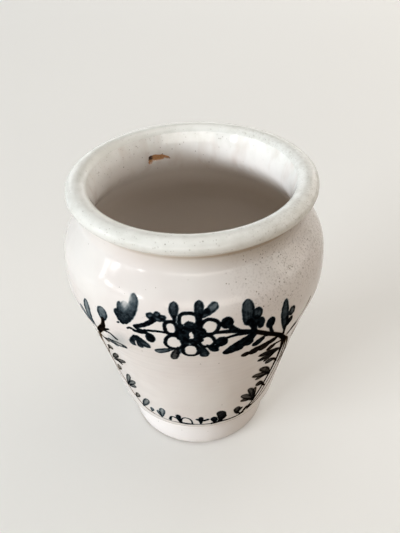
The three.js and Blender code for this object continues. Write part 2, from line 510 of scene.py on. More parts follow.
def lay(window, edge, load, brownness=0.0, pooled=0.35, softness=edge_softness):
    """Lays a mark over the paint: edge is the distance outside it, load the paint in its middle."""
    cover = smooth_step(softness, -softness, edge)
    rim_pool = np.exp(-((edge + 0.35) ** 2) / 0.5)
    depth = np.clip(load + pooled * (1 - load) * rim_pool * 2, 0, 1) * cover
    brown[window] = np.where(depth > paint[window], brownness, brown[window])
    paint[window] = 1 - (1 - paint[window]) * (1 - depth)


print("one degree of turn at the belly is", round(np.radians(belly_radius), 2), "mm")

# %% [markdown]
# A soft round brush is set down on its point, pressed until it spreads and lifted off, which leaves a
# leaf shape. One press is a dab, and a few wet presses from one foot run together to a lobed leaf.

# %% Dabs and leaves
def press(side, rise, base, tip, width, bow=0.0, widest=0.7, heel=0.15):
    """One press of the brush on a flat patch: the distance outside its edge, its share t and its offset.

    Up to the widest place the half width rises as the sine of a quarter turn to the power 0.8, from
    the share heel of it at the base; past it the tip is half an ellipse. Bow bends the middle line
    sideways by bow times 4 t (1 - t) at the share t of the way.
    """
    length = np.hypot(*(tip - base))
    ahead = (tip - base) / length
    x, y = side - base[0], rise - base[1]
    t = (x * ahead[0] + y * ahead[1]) / length
    off = x * -ahead[1] + y * ahead[0] - bow * 4 * t * (1 - t)
    inside = np.clip(t, 0, 1)
    swell = np.sin(np.pi / 2 * np.clip(inside / widest, 0, 1)) ** 0.8
    blunt = np.sqrt(1 - np.clip((inside - widest) / (1 - widest), 0, 1) ** 2)
    half = width / 2 * np.where(inside < widest, heel + (1 - heel) * swell, blunt)
    return np.hypot(np.abs(off), (t - inside) * length) - half, inside, off


def dab(base, tip, width, load=0.75, bow=0.0, brownness=0.0, widest=0.7, heel=0.15):
    """A press of the brush from base to tip.

    A thin load runs out: it falls by the share 0.8 (1 - load) t^2, its edge softens as much, and the
    hairs of the brush leave streaks.
    """
    window, side, rise, (start, end), wander = patch((base[0], tip[0]), (base[1], tip[1]), width + 1)
    edge, t, off = press(side, rise, start, end, width, bow, widest, heel)
    gone = 0.8 * (1 - load) * t**2
    hairs = 1.04 + 0.14 * (1 - load) * np.sin(2 * np.pi * off / hair_spacing + 2 * t)
    lay(window, edge + wander, load * (1 - gone) * hairs, brownness, 0.3, edge_softness + gone)


def fan(presses, load, fade):
    """A leaf with lobes: presses that run together wet, so its edge is the least of their edges.

    A press is a base, a tip, a width, a bow, a widest place and a heel. The load falls by fade times
    d^2, where d is the distance from the first base over the length of the longest press.
    """
    turns, heights = zip(*(place for base, tip, *_ in presses for place in (base, tip)))
    window, side, rise, places, wander = patch(turns, heights, 5)
    edges = [
        press(side, rise, start, end, *shape)[0]
        for start, end, (_, _, *shape) in zip(places[::2], places[1::2], presses)
    ]
    longest = np.hypot(*(places[1::2] - places[::2]).T).max()
    away = np.clip(np.hypot(side, rise) / longest, 0, 1)
    thinned = load * (1 - fade * away**2)
    lay(window, np.min(edges, axis=0) + wander, thinned, 0.0, 0.2, edge_softness + 0.3 * away)


print("the hairs of the brush are", hair_spacing, "mm apart")

# %% [markdown]
# Berries and the hearts of flowers are round touches, and petals are drawn as rings. Smears, dry
# places, worn places and a painted highlight have the same oval shape and change the paint that is
# there already.

# %% Ovals: blots, rings, smears and worn places
def oval(centre, half_width, half_height, reach, tilt=0.0):
    """The patch round a place, with x / a and y / b of an ellipse there turned by tilt degrees."""
    window, side, rise, _, wander = patch((centre[0],) * 2, (centre[1],) * 2, reach)
    lean = np.radians(tilt)
    x = (side * np.cos(lean) + rise * np.sin(lean)) / half_width
    y = (rise * np.cos(lean) - side * np.sin(lean)) / half_height
    return window, x, y, wander


def blot(centre, half_width, half_height, load=0.95, brownness=0.0, pooled=0.35):
    """A round touch of the brush: an ellipse, its edge distance about (k - 1) times its smaller half."""
    window, x, y, wander = oval(centre, half_width, half_height, max(half_width, half_height) + 1)
    edge = (np.hypot(x, y) - 1) * min(half_width, half_height)
    lay(window, edge + wander, load, brownness, pooled)


def ring(centre, half_width, half_height, line_width, tilt, n):
    """The outline of a petal, turned by tilt degrees: k = (|x/a|^n + |y/b|^n)^(1/n) = 1.

    An n of 2 is an ellipse and a higher one is squarer. The distance to it is about (k - 1) over the
    slope of k.
    """
    window, x, y, wander = oval(centre, half_width, half_height, max(half_width, half_height) + 2, tilt)
    x, y = np.abs(x), np.abs(y)
    k = (x**n + y**n) ** (1 / n)
    slope = np.hypot(x ** (n - 1) / half_width, y ** (n - 1) / half_height)
    away = (k - 1) * k ** (n - 1) / np.maximum(slope, 1e-3)
    lay(window, np.abs(away) - line_width / 2 + wander * 0.6, 1.0)


def smear(centre, half_width, half_height, load, tilt=0.0):
    """Paint wiped thin: a tilted ellipse whose paint fades as a bell, exp(-2 k^2), from its middle."""
    window, x, y, wander = oval(centre, half_width, half_height, max(half_width, half_height) * 1.6, tilt)
    k = np.hypot(x, y) + wander * 0.5
    paint[window] = 1 - (1 - paint[window]) * (1 - load * np.exp(-2 * k**2))


def thin_paint_and_highlight(centre, half_width, half_height, strength):
    """Paint laid thin by a half dry brush, and on the big left leaf a painted highlight: as a smear, but it
    takes away the share exp(-2 k^2).
    """
    window, x, y, wander = oval(centre, half_width, half_height, max(half_width, half_height) * 1.6)
    paint[window] *= 1 - strength * np.exp(-2 * (np.hypot(x, y) + wander * 0.6) ** 2)


def worn(centre, half_width, half_height, strength=1.0):
    """Paint rubbed away: an ellipse in which only part of the paint stays."""
    window, x, y, wander = oval(centre, half_width, half_height, max(half_width, half_height) + 1)
    paint[window] *= 1 - strength * smooth_step(1.1, 0.9, np.hypot(x, y) + wander * 2)


print("paint on the grid before the first mark", float(paint.max()))

# %% [markdown]
# Stems are drawn with the point of the brush, and press makes them wider or finer on the way.

# %% Lines
def line(places, widths, load=1.0, brownness=0.0):
    """A drawn line through some places, as wide as widths says, evenly shared out between its ends.

    Between places B and C, with A before and D after, it follows the curve
    (2B + (C - A) t + (2A - 5B + 4C - D) t^2 + (3B - A - 3C + D) t^3) / 2. Its edge is the least
    distance to short straight parts of that, less half the width there.
    """
    window, side, rise, flat, wander = patch(*zip(*places), 2.5)
    widths = np.interp(np.linspace(0, 1, len(places)), np.linspace(0, 1, len(widths)), widths)
    ends = np.vstack([2 * flat[0] - flat[1], flat, 2 * flat[-1] - flat[-2]])
    t = np.linspace(0, 1, 7)[:, None]
    edge = np.full(np.broadcast(side, rise).shape, np.inf)
    for k in range(len(flat) - 1):
        a, b, c, d = ends[k : k + 4]
        squared, cubed = 2 * a - 5 * b + 4 * c - d, 3 * b - a - 3 * c + d
        curve = (2 * b + (c - a) * t + squared * t**2 + cubed * t**3) / 2
        half = np.interp(t[:, 0], [0, 1], widths[k : k + 2]) / 2
        for p, q, start, end in zip(curve[:-1], curve[1:], half[:-1], half[1:]):
            x, y = side - p[0], rise - p[1]
            step = q - p
            share = np.clip((x * step[0] + y * step[1]) / (step @ step), 0, 1)
            away = np.hypot(x - share * step[0], y - share * step[1])
            edge = np.minimum(edge, away - start - (end - start) * share)
    lay(window, edge + wander * 0.6, load, brownness, pooled=0)


def painted_share():
    """The share of the brush grid that has paint on it."""
    return round(float((paint > least_paint).mean()), 3)


print("share of the grid with paint", painted_share())

# %% [markdown]
# A flower with six outlined petals sits at the front, at the top of a wreath that runs down both
# sides and closes above the foot. Its heart is a ring of dark touches round a white eye.

# %% The flower at the front
for petal in (
    ((-3.2, 107.5), 3.5, 3.3, 1.5, 0, 3.0),
    ((4.7, 104.1), 3.4, 3.6, 1.6, -25, 2.4),
    ((3.5, 96.6), 2.95, 3.05, 1.5, 20, 2.4),
    ((-2.75, 91.2), 3.1, 4.0, 1.6, 0, 2.4),
    ((-8.9, 96.0), 3.5, 3.8, 1.5, -15, 2.3),
    ((-9.9, 103.6), 2.4, 3.15, 1.6, 10, 2.3),
):
    ring(*petal)
blot((-2.5, 100.4), 3.6, 4.8)
for touch in (
    ((-2.8, 105.6), 2.1, 1.7, 0.8),
    ((-6.4, 104.4), 1.5, 1.9, 0.95),
    ((-6.6, 100.4), 1.7, 2.9, 0.9),
    ((-5.2, 97.0), 1.5, 2.6, 0.95),
    ((-1.3, 96.5), 1.4, 2.3, 0.95),
    ((0.6, 98.2), 1.3, 2.0, 0.95),
    ((1.5, 102.0), 1.9, 2.1, 0.95),
    ((0.3, 104.9), 1.5, 2.6, 0.95),
    ((1.4, 97.4), 1.0, 1.0, 0.95),
):
    blot(*touch)
line([(0.9, 103.0), (0.9, 107.0), (0.9, 110.0)], [2.4, 1.9])
worn((-2.3, 100.1), 0.8, 2.0)
worn((-3.1, 95.3), 0.5, 0.7, 0.4)
print("flower painted, darkest", round(float(paint.max()), 2))

# %% [markdown]
# Buds, berries and small leaves stand round the flower. A bud is one dab on a short stalk, a berry a
# round blot, and a leaf with lobes a few dabs that share a base. Stems are lines of one brush.

# %% Buds and leaves round the flower
dab((-8.5, 108.0), (-8.8, 114.8), 3.9, 0.74, widest=0.62)
line([(-8.4, 109.0), (-8.3, 106.2)], [1.5, 1.3])
dab((0.9, 107.0), (0.9, 115.3), 3.8, 0.82)
dab((1.4, 108.5), (8.0, 114.0), 3.7, 0.64, widest=0.76)
blot((3.8, 111.2), 1.5, 1.3, 0.6)
dab((-7.7, 93.4), (-10.4, 83.2), 3.5, 0.7, brownness=0.3)
dab((-6.6, 94.0), (-8.0, 87.6), 1.7, 0.5)
dab((-9.0, 92.2), (-17.5, 87.9), 3.5, 0.66, widest=0.76)
dab((1.5, 94.4), (3.0, 85.6), 4.1, 0.82)
dab((3.4, 94.6), (8.0, 89.4), 3.2, 0.9)
blot((6.9, 92.6), 1.5, 1.6, 0.9)
blot((11.3, 105.1), 2.6, 2.85, 1.0)
line([(12.4, 103.2), (13.8, 101.6), (15.6, 100.2)], [2.6, 1.8])
blot((9.2, 95.5), 2.6, 2.9, 1.0)
blot((-15.0, 109.2), 1.6, 1.45, 0.55)
blot((-17.7, 108.2), 1.8, 1.6, 0.55)
blot((-13.0, 108.3), 1.6, 1.2, 0.6)
dab((-11.0, 107.0), (-18.0, 107.4), 2.2, 0.6, widest=0.5)
line([(-16.4, 106.6), (-18.2, 104.9), (-20.6, 103.1), (-24.2, 101.3)], [2.4, 1.9])
line([(-11.5, 101.0), (-14.5, 101.2), (-17.5, 100.9), (-20.3, 100.5)], [1.1, 1.2])
blot((-18.3, 96.8), 2.1, 2.6, 1.0)
line([(-19.0, 99.0), (-21.0, 99.8), (-23.5, 100.4), (-24.3, 101.4)], [1.4, 1.6])
line([(-20.0, 99.3), (-22.6, 98.8), (-25.0, 98.9)], [1.7, 1.4])
line([(-25.2, 99.3), (-26.8, 99.6), (-27.8, 99.0)], [1.2, 0.9], 0.95)
print("share of the grid with paint", painted_share())

# %% [markdown]
# To the left a big two-part leaf stands up and another hangs down. Between them the stem has flaked
# off, and thin bluish paint is smeared below. The stem comes back at the side as a brown line.

# %% The left arm of the wreath
fan(
    (
        ((-28.3, 101.4), (-24.9, 115.4), 4.3, -1.4, 0.8, 0.3),
        ((-29.4, 102.4), (-28.2, 111.8), 5.0, 0.0, 0.6, 0.6),
        ((-29.8, 101.8), (-32.8, 107.2), 3.6, 0.0, 0.6, 0.8),
        ((-30.2, 101.4), (-30.9, 111.0), 2.8, 0.0, 0.75, 0.7),
        ((-31.2, 102.5), (-28.0, 102.6), 2.4, 0.0, 0.5, 0.9),
    ),
    0.84, 0.35,
)
# The top of the big leaf is paled: a painted highlight where the window shines on the paint.
thin_paint_and_highlight((-28.4, 112.0), 3.0, 5.6, 0.85)
thin_paint_and_highlight((-26.9, 114.2), 1.6, 3.4, 0.75)
thin_paint_and_highlight((-32.6, 108.6), 1.2, 1.4, 0.3)
line([(-31.7, 100.6), (-32.4, 100.1)], [0.9, 0.7], 0.9)
line([(-30.5, 101.3), (-29.6, 100.8)], [0.8, 0.6], 0.9)
fan(
    (
        ((-25.0, 95.4), (-27.2, 88.6), 3.8, 0.0, 0.6, 0.5),
        ((-24.4, 95.4), (-23.4, 88.3), 3.4, 0.0, 0.7, 0.6),
        ((-24.0, 95.2), (-19.4, 89.8), 4.0, 0.0, 0.6, 0.6),
    ),
    0.88, 0.2,
)
worn((-25.2, 90.9), 0.32, 1.9, 0.9)
dab((-40.6, 96.6), (-39.8, 104.5), 5.9, 0.62, widest=0.6)
line(
    [(-40.3, 98.0), (-41.1, 93.8), (-43.4, 90.3), (-46.2, 87.2), (-50.0, 82.6)],
    [1.8, 2.4, 3.1, 3.0, 2.6], 1.0, 0.85,
)
line([(-42.0, 90.4), (-40.2, 91.6), (-38.4, 92.9)], [1.4, 1.0], 1.0, 0.4)
line([(-43.0, 88.7), (-40.2, 89.9), (-38.2, 89.8), (-36.2, 87.6)], [1.1, 1.3, 1.9], 0.85, 0.1)
dab((-48.0, 79.2), (-32.2, 83.8), 3.8, 0.32, bow=0.6, brownness=0.2)
dab((-43.0, 83.4), (-38.0, 80.2), 3.6, 0.3)
dab((-50.5, 79.5), (-44.5, 79.0), 3.0, 0.4, brownness=0.5)
blot((-33.4, 83.4), 1.5, 1.4, 0.25)
smear((-33.0, 89.6), 5.5, 8.0, 0.13, tilt=-35)
smear((-37.8, 85.8), 6.5, 4.2, 0.19, tilt=20)
dab((-48.6, 86.5), (-50.2, 102.8), 4.8, 0.54, bow=0.8)
dab((-50.5, 86.5), (-57.0, 95.6), 4.0, 0.5)
print("share of the grid with paint", painted_share())

# %% [markdown]
# To the right the stem is one strong line that runs down to the side, with berries above it, wide
# leaves of four blots below it, and a tall leaf where it turns out of sight.

# %% The right arm of the wreath
line([(5.0, 100.8), (9.0, 100.9), (14.0, 100.2), (18.0, 98.8), (22.0, 97.2)], [1.2, 1.7, 2.2, 2.1, 2.5])
line([(11.0, 97.3), (15.0, 97.9), (18.5, 97.6), (22.5, 96.8)], [1.2, 1.5, 1.8, 2.2])
line(
    [(22.0, 97.2), (25.5, 95.0), (29.0, 92.4), (32.5, 89.8), (36.5, 86.4), (40.2, 82.4), (44.0, 77.8)],
    [2.6, 2.2, 2.5, 2.5, 2.5, 2.5, 2.6], 1.0, 0.6,
)
line([(24.5, 90.4), (28.0, 91.4), (31.0, 90.8)], [0.9, 1.9], 1.0, 0.3)
dab((19.7, 103.4), (19.8, 113.2), 5.4, 0.74, widest=0.6, heel=0.75)
blot((20.6, 102.8), 2.0, 1.8, 0.6, pooled=0)
blot((23.6, 106.1), 2.35, 2.75, 0.7)
blot((25.3, 100.6), 1.75, 2.95, 0.88)
blot((22.9, 102.6), 1.9, 2.9, 0.85)
line([(20.6, 103.0), (22.1, 100.0), (22.6, 97.0)], [3.0, 2.6])
blot((29.9, 98.5), 2.25, 2.8, 0.97)
line([(30.0, 97.0), (30.4, 94.5), (31.8, 91.4)], [2.2, 1.5, 1.6])
dab((22.8, 95.6), (10.4, 86.2), 6.6, 0.9, widest=0.55, heel=0.4)
for lobe in (
    ((11.9, 87.6), 1.9, 1.9),
    ((16.6, 89.0), 2.3, 2.6),
    ((20.6, 91.4), 2.2, 2.9),
    ((18.3, 92.0), 3.4, 2.6),
):
    blot(*lobe, 0.92)
dab((28.3, 91.9), (23.4, 86.4), 4.5, 0.93)
for lobe in (
    ((21.2, 81.3), 2.3, 2.0),
    ((25.4, 81.9), 2.8, 3.0),
    ((30.2, 82.2), 3.2, 3.2),
    ((34.4, 83.6), 2.8, 2.4),
):
    blot(*lobe, 0.84, 0.6)
line([(22.0, 81.6), (27.0, 83.6), (33.0, 84.6), (38.5, 84.6)], [2.0, 2.8, 2.2], 0.9, 0.6)
dab((39.6, 88.0), (37.2, 106.8), 4.5, 0.74, bow=1.1, widest=0.6, heel=0.3)
blot((41.3, 98.4), 2.0, 2.5, 0.6, 0.15)
blot((41.2, 93.2), 1.5, 2.4, 0.74, 0.35)
line([(38.7, 96.5), (39.6, 92.5), (40.6, 90.5)], [1.8, 1.6], 0.85, 0.2)
line([(39.0, 91.5), (39.8, 87.5), (41.2, 83.0)], [1.8, 1.6, 1.4], 1.0, 0.4)
dab((46.3, 78.6), (51.0, 84.6), 2.6, 0.9, brownness=1.0)
line([(45.6, 79.6), (48.4, 84.4), (52.0, 90.5), (55.5, 96.0)], [1.2, 0.8], 0.9, 1.0)
print("share of the grid with paint", painted_share())

# %% [markdown]
# Down the sides the stem runs as two or three thin brown lines that draw together and part again,
# with leaves towards the front and a few beyond. The back of the jar is left white.

# %% The sides of the wreath
line(
    [
        (44.0, 77.8), (45.6, 73.5), (47.2, 67.0), (47.8, 61.0), (47.0, 52.5),
        (44.6, 45.0), (41.0, 37.5), (36.5, 30.5), (29.0, 25.2),
    ],
    [2.8, 2.6, 2.4, 2.2, 2.0, 1.8, 1.5, 1.1], 1.0, 0.9,
)
line(
    [
        (44.5, 77.5), (48.2, 72.5), (51.0, 65.0), (52.4, 57.5),
        (51.6, 50.0), (49.0, 42.5), (44.0, 34.0), (37.0, 28.0),
    ],
    [1.3, 1.2, 1.2, 1.1, 0.9], 0.9, 0.9,
)
line(
    [
        (45.0, 78.5), (51.0, 71.0), (56.0, 60.0), (58.0, 50.0),
        (56.0, 42.0), (51.5, 35.0), (45.0, 30.0), (36.0, 26.6),
    ],
    [1.1, 1.3, 1.4, 1.2, 0.9], 0.85, 0.9,
)
line([(44.2, 76.4), (41.0, 77.6), (38.0, 78.4)], [1.3, 1.7], 0.95, 0.6)
blot((35.9, 77.4), 2.7, 2.3, 0.88, 0.7)
dab((46.5, 68.5), (29.2, 75.0), 3.8, 0.85, bow=-0.5, brownness=0.45)
dab((46.0, 68.5), (29.8, 70.4), 3.6, 0.82, brownness=0.45)
dab((43.0, 69.0), (34.5, 66.6), 3.0, 0.8, brownness=0.45)
line([(43.0, 62.8), (46.0, 60.0), (49.4, 56.0)], [1.5, 0.9], 0.9, 0.8)
dab((45.0, 61.0), (36.6, 65.0), 3.8, 0.72, brownness=0.3)
dab((47.0, 47.5), (34.0, 61.2), 3.6, 0.7, bow=-0.8, brownness=0.45)
dab((47.0, 48.0), (30.0, 57.4), 3.4, 0.66, bow=-0.5, brownness=0.45)
dab((44.5, 50.5), (33.2, 52.6), 2.8, 0.6, brownness=0.45)
line([(41.0, 44.0), (44.0, 40.8), (46.6, 38.0)], [1.5, 0.9], 0.9, 0.8)
dab((43.0, 42.5), (35.9, 47.6), 3.6, 0.78, brownness=0.5)
dab((38.6, 31.0), (30.4, 46.6), 3.3, 0.66, bow=-0.6, brownness=0.35)
dab((37.6, 31.6), (26.0, 43.0), 3.5, 0.62, bow=-0.4, brownness=0.35)
dab((38.0, 33.0), (35.4, 44.6), 2.6, 0.5, brownness=0.5)
dab((36.0, 34.0), (26.4, 38.2), 2.7, 0.66, brownness=0.5)
dab((55.0, 70.0), (59.0, 76.0), 3.0, 0.5, brownness=0.8)
dab((53.5, 52.0), (58.0, 60.0), 3.2, 0.5, brownness=0.8)
line(
    [
        (-50.0, 81.4), (-53.5, 76.0), (-55.6, 68.0), (-56.4, 59.0), (-55.0, 49.0),
        (-51.5, 40.0), (-47.0, 33.0), (-40.0, 27.4), (-33.0, 25.4),
    ],
    [2.4, 1.8, 1.5, 1.3, 1.1, 0.9], 0.66, 0.85,
)
line([(-52.5, 80.0), (-57.5, 70.0), (-59.0, 58.0), (-57.5, 46.0)], [0.9, 0.8, 0.8], 0.5, 0.8)
line([(-48.5, 71.5), (-52.0, 68.0), (-55.6, 62.0)], [0.8, 0.9], 0.8, 0.7)
dab((-51.5, 69.5), (-45.6, 74.0), 3.4, 0.55, brownness=0.5)
dab((-54.0, 59.5), (-43.6, 69.6), 3.0, 0.58, brownness=0.35)
dab((-53.5, 58.5), (-39.6, 66.8), 2.8, 0.54, brownness=0.35)
dab((-49.5, 61.0), (-44.0, 61.6), 2.6, 0.6, brownness=0.4)
dab((-54.0, 50.0), (-49.0, 56.6), 3.2, 0.45, brownness=0.5)
dab((-51.0, 40.0), (-42.4, 54.2), 3.0, 0.44, brownness=0.2)
dab((-51.0, 39.5), (-39.4, 50.4), 2.8, 0.4, brownness=0.2)
dab((-49.5, 39.5), (-40.6, 45.6), 2.6, 0.42, brownness=0.2)
dab((-46.6, 32.0), (-41.0, 38.6), 3.0, 0.45, brownness=0.4)
dab((-42.0, 27.0), (-33.8, 38.0), 3.6, 0.48, brownness=0.1)
print("share of the grid with paint", painted_share())

# %% [markdown]
# The two arms meet above the foot in thin lines, with a loop, small buds and a few leaves.

# %% The foot of the wreath
line([(-33.0, 25.4), (-26.0, 24.6), (-20.0, 24.2), (-13.0, 24.3)], [0.7, 0.8, 1.0], 0.4, 0.3)
line([(-13.5, 24.4), (-9.0, 24.0), (-4.5, 23.8)], [1.3, 1.6, 1.1])
line([(-4.5, 23.8), (2.0, 23.6), (8.0, 23.5)], [0.8, 0.8], 0.7, 0.2)
line([(8.0, 23.6), (14.0, 24.0), (20.0, 23.8), (26.0, 24.0), (31.0, 24.6)], [1.6, 1.3, 0.9, 1.1], 1.0, 0.4)
line([(-13.0, 25.2), (-12.0, 28.4), (-9.8, 29.7), (-7.2, 29.0), (-5.6, 26.8), (-5.2, 24.2)], [1.0, 0.8, 0.8])
dab((-14.0, 25.0), (-14.3, 32.0), 2.6, 0.9)
line([(-20.4, 25.6), (-19.4, 28.4), (-17.2, 28.8), (-14.6, 27.2), (-12.6, 25.2)], [1.6, 0.9, 0.9, 1.1])
dab((-26.8, 25.2), (-24.4, 34.6), 3.4, 0.4)
dab((-27.0, 25.6), (-28.6, 31.0), 2.4, 0.4)
dab((-34.5, 26.6), (-32.6, 31.0), 2.4, 0.4)
dab((0.4, 23.8), (0.7, 31.0), 2.5, 0.9)
dab((0.8, 26.6), (6.2, 28.2), 1.9, 0.8)
dab((0.4, 26.8), (-2.6, 29.2), 1.6, 0.75)
dab((10.6, 23.6), (8.7, 29.8), 3.4, 0.93)
dab((14.0, 24.0), (12.6, 34.4), 4.7, 0.86, bow=-0.9, brownness=0.3)
dab((12.0, 24.0), (17.2, 29.4), 3.3, 0.86, brownness=0.3)
dab((25.8, 26.4), (24.8, 33.2), 3.8, 0.74, brownness=0.4)
dab((26.2, 27.0), (29.0, 31.0), 2.2, 0.7, brownness=0.4)
line([(26.0, 28.4), (27.2, 26.2), (29.6, 24.6)], [1.2, 1.0], 0.95, 0.4)
dab((30.0, 24.8), (33.8, 29.4), 2.4, 0.85, brownness=0.5)
dab((34.0, 25.6), (36.6, 28.8), 2.0, 0.8, brownness=0.6)
print("share of the grid with paint", painted_share())

# %% [markdown]
# The paint is a film thinner than a hair. Its mesh is kept only where there is paint. It is proud of
# the glaze by a few hundredths of a millimetre where the paint is thick and dips under the glaze
# where there is none, so its border never shows. A second layer under it closes the film.

# %% The painted film
film_proud = 0.03
film_sunk = 0.02
film_back = 0.14
full_height_at = 0.06


def film_points(lift):
    """The brush grid laid on the outside of the jar and moved out by lift."""
    distance = paint_distances[:, None] + 0 * paint_turns
    turn = np.radians(paint_turns)[None, :] + 0 * distance
    return thrown(turn, *along(outside_profile, distance, lift)).reshape(-1, 3)


# A cell of the grid is kept where one of its corners, or a neighbour of one, has paint
padded = np.pad(paint > least_paint, 1)
painted = padded[1:-1, 1:-1] | padded[:-2, 1:-1] | padded[2:, 1:-1] | padded[1:-1, :-2] | padded[1:-1, 2:]
cells = painted[:-1, :-1] | painted[1:, :-1] | painted[:-1, 1:] | painted[1:, 1:]
cells[[0, -1], :] = False
cells[:, [0, -1]] = False
less, more = slice(None, -1), slice(1, None)
index = np.arange(paint.size).reshape(paint.shape)
corners = [index[less, less], index[less, more], index[more, more], index[more, less]]
front = np.stack([corner[cells] for corner in corners], -1)
framed = np.pad(cells, 1)
walls = []
for side, (row, column) in enumerate([(-1, 0), (0, 1), (1, 0), (0, -1)]):
    beyond = framed[1 + row : framed.shape[0] - 1 + row, 1 + column : framed.shape[1] - 1 + column]
    open_side = cells & ~beyond
    a, b = corners[side][open_side], corners[(side + 1) % 4][open_side]
    walls.append(np.stack([b, a, a + paint.size, b + paint.size], -1))
film_lift = -film_sunk + (film_proud + film_sunk) * smooth_step(0.0, full_height_at, paint)
film_grid = np.vstack([film_points(film_lift), film_points(-film_back)])
film_faces = np.vstack([front, front[:, ::-1] + paint.size, *walls]).tolist()
film_fields = {"paint_depth": np.tile(paint.ravel(), 2), "paint_brown": np.tile(brown.ravel(), 2)}
film = without_loose_points(film_grid, film_faces, film_fields)
garland = new_piece("painted_garland", *film, sharp_angle=60)

# %% [markdown]
# Colours are written as they look on a screen, as hex values, and turned to the linear values that
# the renderer reckons with: a value under 0.04045 is divided by 12.92, and any other is taken as
# ((value + 0.055) / 1.055) to the power 2.4. One small function adds a node with what feeds it.

# %% Colours and nodes
def paint_chip(hex_colour):
    """sRGB hex to linear red, green, blue and a full alpha."""
    value = np.array([int(hex_colour[k : k + 2], 16) for k in (1, 3, 5)]) / 255
    linear = np.where(value <= 0.04045, value / 12.92, ((value + 0.055) / 1.055) ** 2.4)
    return (*linear.tolist(), 1.0)


def add(tree, kind, feeds=(), **settings):
    """Adds a node with its settings and links, and gives it back.

    Feeds go to its inputs by name, or in the order in which the node shows those in use. A feed is a
    plain value, a hex colour, an output, or a node for the first of its outputs in use.
    """
    made = tree.nodes.new("ShaderNode" + kind)
    for name, value in settings.items():
        setattr(made, name, value)
    in_use = [socket for socket in made.inputs if socket.enabled]
    for name, value in feeds.items() if isinstance(feeds, dict) else enumerate(feeds):
        socket = made.inputs[name] if isinstance(name, str) else in_use[name]
        if isinstance(value, bpy.types.Node):
            value = next(output for output in value.outputs if output.enabled)
        if isinstance(value, bpy.types.NodeSocket):
            tree.links.new(value, socket)
        else:
            socket.default_value = paint_chip(value) if isinstance(value, str) else value
    return made


def new_material(name):
    """A material with no nodes yet, and its tree."""
    material = bpy.data.materials.new(name)
    material.use_nodes = True
    material.node_tree.nodes.clear()
    return material, material.node_tree


print("a pale glaze white as linear", np.round(paint_chip("#ede6e1"), 3))

# %% [markdown]
# Tin glaze is lead glass made white by tin ash. It melts to a soft, slightly wavy gloss. It is pinkish
# where it lies thin over the clay and greener on the rolled rim. The foot is drawn whitest, partly for
# glaze pooled there and partly as painted light on the foot.
# The same nodes serve the outside, the inside and the ground under the paint, so each part of the look
# is a function that is written once.

# %% Sizes and colours of the tin glaze
cloud_size, mottle_size, wave_size, peel_size = 30 * MM, 5 * MM, 12 * MM, 3.4 * MM
pepper_size = 0.9 * MM
pore_spacing = 0.95 * MM  # real pores are 0.1 to 0.3 mm; drawn at up to 0.4 mm so that they show
wave_height, peel_height, pore_depth = 0.32, 0.022, 0.08
outside_white = ("#e4deda", "#eae7e3")
# The inside and its lip are drawn whiter than the outside: painted light on the inner wall.
lit_inside_white = ("#f6f2ee", "#f8f5f2")
rim_white = ("#e9eae5", "#e0e1db")
lit_lip_white = ("#f4f4f0", "#ebebe5")
# The foot's white stands partly for glaze pooled there and partly for painted light on the foot.
pooled_and_lit_foot_white = "#f0edeb"
# The first colour darkens the crease and the neck: dirt there, and painted shade under the roll.
crease_dirt_and_shade, pore_dirt, scum = "#a3937f", "#75675a", "#c4bcb0"
foot_band_heights = (20 * MM, 15 * MM)
glaze_ior = 1.52


def glaze_whites(tree, place, height, mottle, whites, rim_whites, rim_begins):
    """The white of each place, how far the place lies on the rim, and how mottled it is.

    Heights get a ragged border of about a millimetre, so that no zone ends in a ruled line.
    """
    clouds = add(tree, "TexNoise", [place, 1 / cloud_size, 3.0])
    ragged = add(tree, "Math", [mottle, 5 * MM, height], operation="MULTIPLY_ADD")
    covered = add(tree, "MapRange", [clouds, 0.36, 0.62])
    on_rim = add(tree, "MapRange", [ragged, rim_begins[0] * MM, rim_begins[1] * MM])
    at_foot = add(tree, "MapRange", [ragged, *foot_band_heights])
    patchy = add(tree, "MapRange", [mottle, 0.42, 0.68])
    body = add(tree, "Mix", [covered, *whites], data_type="RGBA")
    rim = add(tree, "Mix", [patchy, *rim_whites], data_type="RGBA")
    colour = add(tree, "Mix", [on_rim, body, rim], data_type="RGBA")
    colour = add(tree, "Mix", [at_foot, colour, pooled_and_lit_foot_white], data_type="RGBA")
    return colour, on_rim, patchy


print("thinnest and best covered outside", *outside_white)

# %% [markdown]
# Dirt and painted shade darken the crease under the roll, and a painted shadow of the roll
# darkens the neck at the front and right, most at the right.

# %% Dirt and painted shade in the crease
crease_height = 130.3 * MM
crease_half, crease_core = 1.3 * MM, 0.2 * MM
neck_shade_rises = (123.5 * MM, 129.5 * MM)
roll_begins = (131.4 * MM, 130.4 * MM)
shade_grows_towards_right = (-34 * MM, 24 * MM)
darkest_at_right = (24 * MM, 48 * MM)


